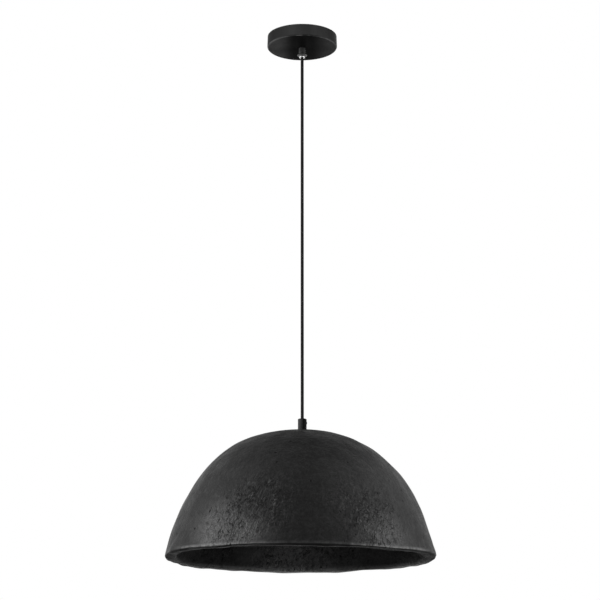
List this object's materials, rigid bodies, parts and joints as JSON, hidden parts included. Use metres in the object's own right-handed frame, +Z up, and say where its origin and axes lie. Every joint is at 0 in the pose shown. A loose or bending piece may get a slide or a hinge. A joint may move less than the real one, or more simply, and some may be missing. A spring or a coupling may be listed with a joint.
{
  "type": "pendant ceiling light",
  "caption": "Pendant light: thick-walled black moulded-pulp dome shade hung on a thin cord from a round steel canopy, with an E27 lampholder inside.",
  "frame": {"origin": "centre of the ceiling screw pattern, on the ceiling plane", "axes": "+Z up into the ceiling along the cord, +X along the bracket strap towards the glands' grip screws, -Y towards the viewer"},
  "size_m": [0.3999, 0.4, 0.822],
  "materials": {
    "zinc_steel": "zinc plated",
    "canopy_black": "satin black powder coat",
    "black_screws": "black oxide",
    "gland_black": "satin",
    "bush_silver": "matt silver",
    "white_plastic": "moulded",
    "brass": "plain",
    "cord_black": "smooth sheath",
    "core_brown": "wire insulation",
    "core_blue": "wire insulation",
    "shade_pulp": "painted moulded pulp, pitted",
    "holder_black": "moulded",
    "insert_white": "glazed porcelain",
    "shell_metal": "rolled",
    "spring_steel": "bright wire"
  },
  "bodies": {
    "canopy_set": {"ceiling_bracket": "zinc_steel", "canopy": "canopy_black", "canopy_screws": "black_screws", "canopy_gland": "gland_black", "gland_bush": "bush_silver", "gland_washer": "zinc_steel", "gland_locknut": "zinc_steel", "gland_screw": "black_screws", "terminal_block": "white_plastic", "terminal_tubes": "brass", "terminal_screws": "zinc_steel", "earth_screw": "brass", "cord_in_canopy": "cord_black", "live_core": "core_brown", "neutral_core": "core_blue"},
    "top_bend": {"cord_top_bend": "cord_black"},
    "upper_cord": {"cord_upper": "cord_black"},
    "lower_cord": {"cord_lower": "cord_black"},
    "bottom_bend": {"cord_bottom_bend": "cord_black"},
    "shade_set": {"shade_gland": "gland_black", "shade_gland_screw": "black_screws", "threaded_nipple": "zinc_steel", "backing_washer": "zinc_steel", "nipple_nut": "zinc_steel", "shade": "shade_pulp", "cord_in_shade": "cord_black", "lampholder_cap": "holder_black", "cap_lock_screw": "zinc_steel", "lampholder_body": "holder_black", "lampholder_insert": "insert_white", "holder_terminals": "brass", "holder_terminal_screws": "zinc_steel", "live_strip": "brass", "screw_shell": "shell_metal", "contact_spring": "spring_steel", "holder_live_core": "core_brown", "holder_neutral_core": "core_blue"},
    "contact": {"centre_contact": "brass"}
  },
  "joints": [
    {"name": "swing_x", "type": "hinge", "parent": "canopy_set", "child": "top_bend", "pos_m": [0, 0, -0.0355], "axis": [1, 0, 0], "range_deg": [-20, 20]},
    {"name": "swing_y", "type": "hinge", "parent": "top_bend", "child": "upper_cord", "pos_m": [0, 0, -0.0355], "axis": [0, 1, 0], "range_deg": [-20, 20]},
    {"name": "cord_twist", "type": "hinge", "parent": "upper_cord", "child": "lower_cord", "pos_m": [0, 0, -0.324], "axis": [0, 0, 1], "range_deg": [-180, 180], "stiffness_Nm_per_rad": 0.004},
    {"name": "shade_tilt_x", "type": "hinge", "parent": "lower_cord", "child": "bottom_bend", "pos_m": [0, 0, -0.6125], "axis": [1, 0, 0], "range_deg": [-25, 25]},
    {"name": "shade_tilt_y", "type": "hinge", "parent": "bottom_bend", "child": "shade_set", "pos_m": [0, 0, -0.6125], "axis": [0, 1, 0], "range_deg": [-25, 25]},
    {"name": "contact_press", "type": "slide", "parent": "shade_set", "child": "contact", "axis": [0, 0, 1], "range_m": [0, 0.0015], "stiffness_N_per_m": 2500, "deforming": ["contact_spring"]}
  ]
}
